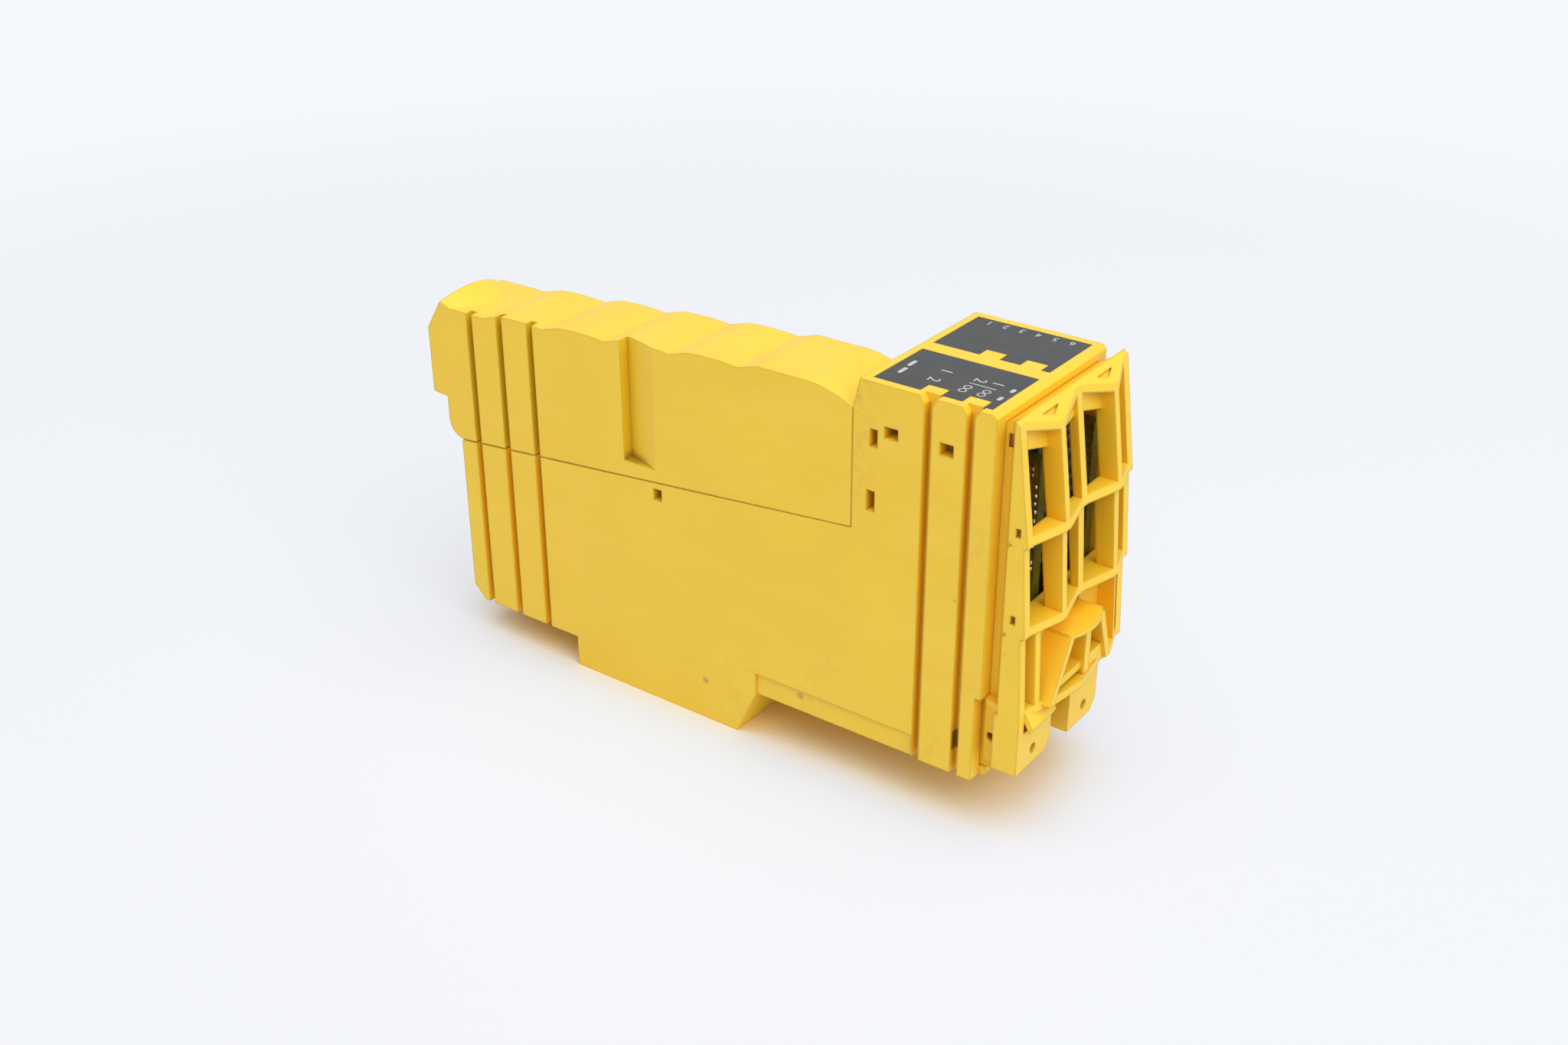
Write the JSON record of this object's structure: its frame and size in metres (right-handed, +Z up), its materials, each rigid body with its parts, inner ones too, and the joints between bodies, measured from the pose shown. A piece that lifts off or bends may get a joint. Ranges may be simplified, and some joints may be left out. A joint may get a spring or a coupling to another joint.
{
  "type": "safe digital io module",
  "caption": "Yellow safety I/O slice module with a hinged scalloped blind cover, a label block, an open terminal bay and a zigzag ventilation lattice at one end.",
  "frame": {"origin": "middle of the bounding box at the foot's face, which is the face the module stands on", "axes": "+X along the module towards the ventilation lattice, +Y across it from the covered slot to the open slot, +Z up from the foot to the label face"},
  "size_m": [0.094, 0.025, 0.0538],
  "materials": {
    "housing_plastic": "fine-grained signal yellow moulding",
    "label_film": "dark grey label plate",
    "clear_guide": "clear light guide",
    "board_laminate": "dark green solder resist",
    "chip_epoxy": "black epoxy package",
    "led_lens": "milky lens",
    "ferrite": "dark sintered ferrite",
    "can_metal": "plain can",
    "connector_plastic": "black glass-filled moulding",
    "solder": "bright solder",
    "contact_metal": "plated spring contact",
    "socket_plastic": "dark grey moulding",
    "strip_metal": "copper alloy strip"
  },
  "bodies": {
    "base": {"housing": "housing_plastic", "vent_lattice": "housing_plastic", "label_plate_near": "label_film", "label_plate_far": "label_film", "light_guide_near": "clear_guide", "light_guide_far": "clear_guide", "circuit_board_near": "board_laminate", "circuit_board_far": "board_laminate", "processor_near": "chip_epoxy", "processor_far": "chip_epoxy", "status_leds_near": "led_lens", "status_leds_far": "led_lens", "input_couplers": "chip_epoxy", "output_drivers": "chip_epoxy", "power_inductor": "ferrite", "supply_capacitors": "can_metal", "board_link": "connector_plastic", "solder_joints": "solder", "bus_connector_near": "connector_plastic", "bus_connector_far": "connector_plastic", "bus_pins_near": "contact_metal", "bus_pins_far": "contact_metal", "terminal_socket": "socket_plastic", "terminal_blades": "contact_metal", "earth_strip": "strip_metal"},
    "cover": {"blind_cover": "housing_plastic"}
  },
  "joints": [
    {"name": "cover_hinge", "type": "hinge", "parent": "base", "child": "cover", "pos_m": [-0.0421, -0.00625, 0.03123], "axis": [0, -1, 0], "range_deg": [0, 80]}
  ]
}
